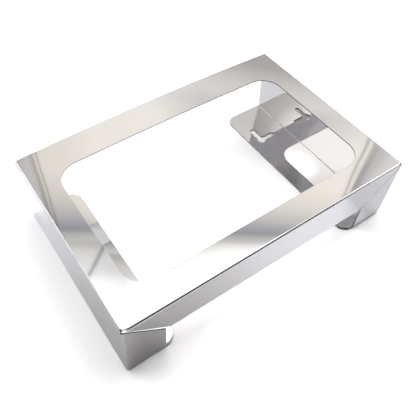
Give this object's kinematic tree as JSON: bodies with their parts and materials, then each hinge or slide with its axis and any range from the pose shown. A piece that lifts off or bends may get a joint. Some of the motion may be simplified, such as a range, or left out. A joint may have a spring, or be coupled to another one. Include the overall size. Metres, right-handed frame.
{
  "type": "glove box dispenser",
  "caption": "Wall-hung glove box dispenser folded from polished stainless sheet, with a large front window, an open loading side and keyholed back flanges.",
  "frame": {"origin": "middle of the part's bounding box, on the plane of the wall it hangs on, which is the outside of the back flanges", "axes": "+X along the long side, +Y from the near flange to the open side where the glove box slides in, +Z out of the wall to the front panel"},
  "size_m": [0.255, 0.168, 0.067],
  "materials": {
    "polished_stainless": "bright polished sheet, soft mirror reflections"
  },
  "bodies": {
    "root": {"dispenser_body": "polished_stainless"}
  },
  "joints": []
}
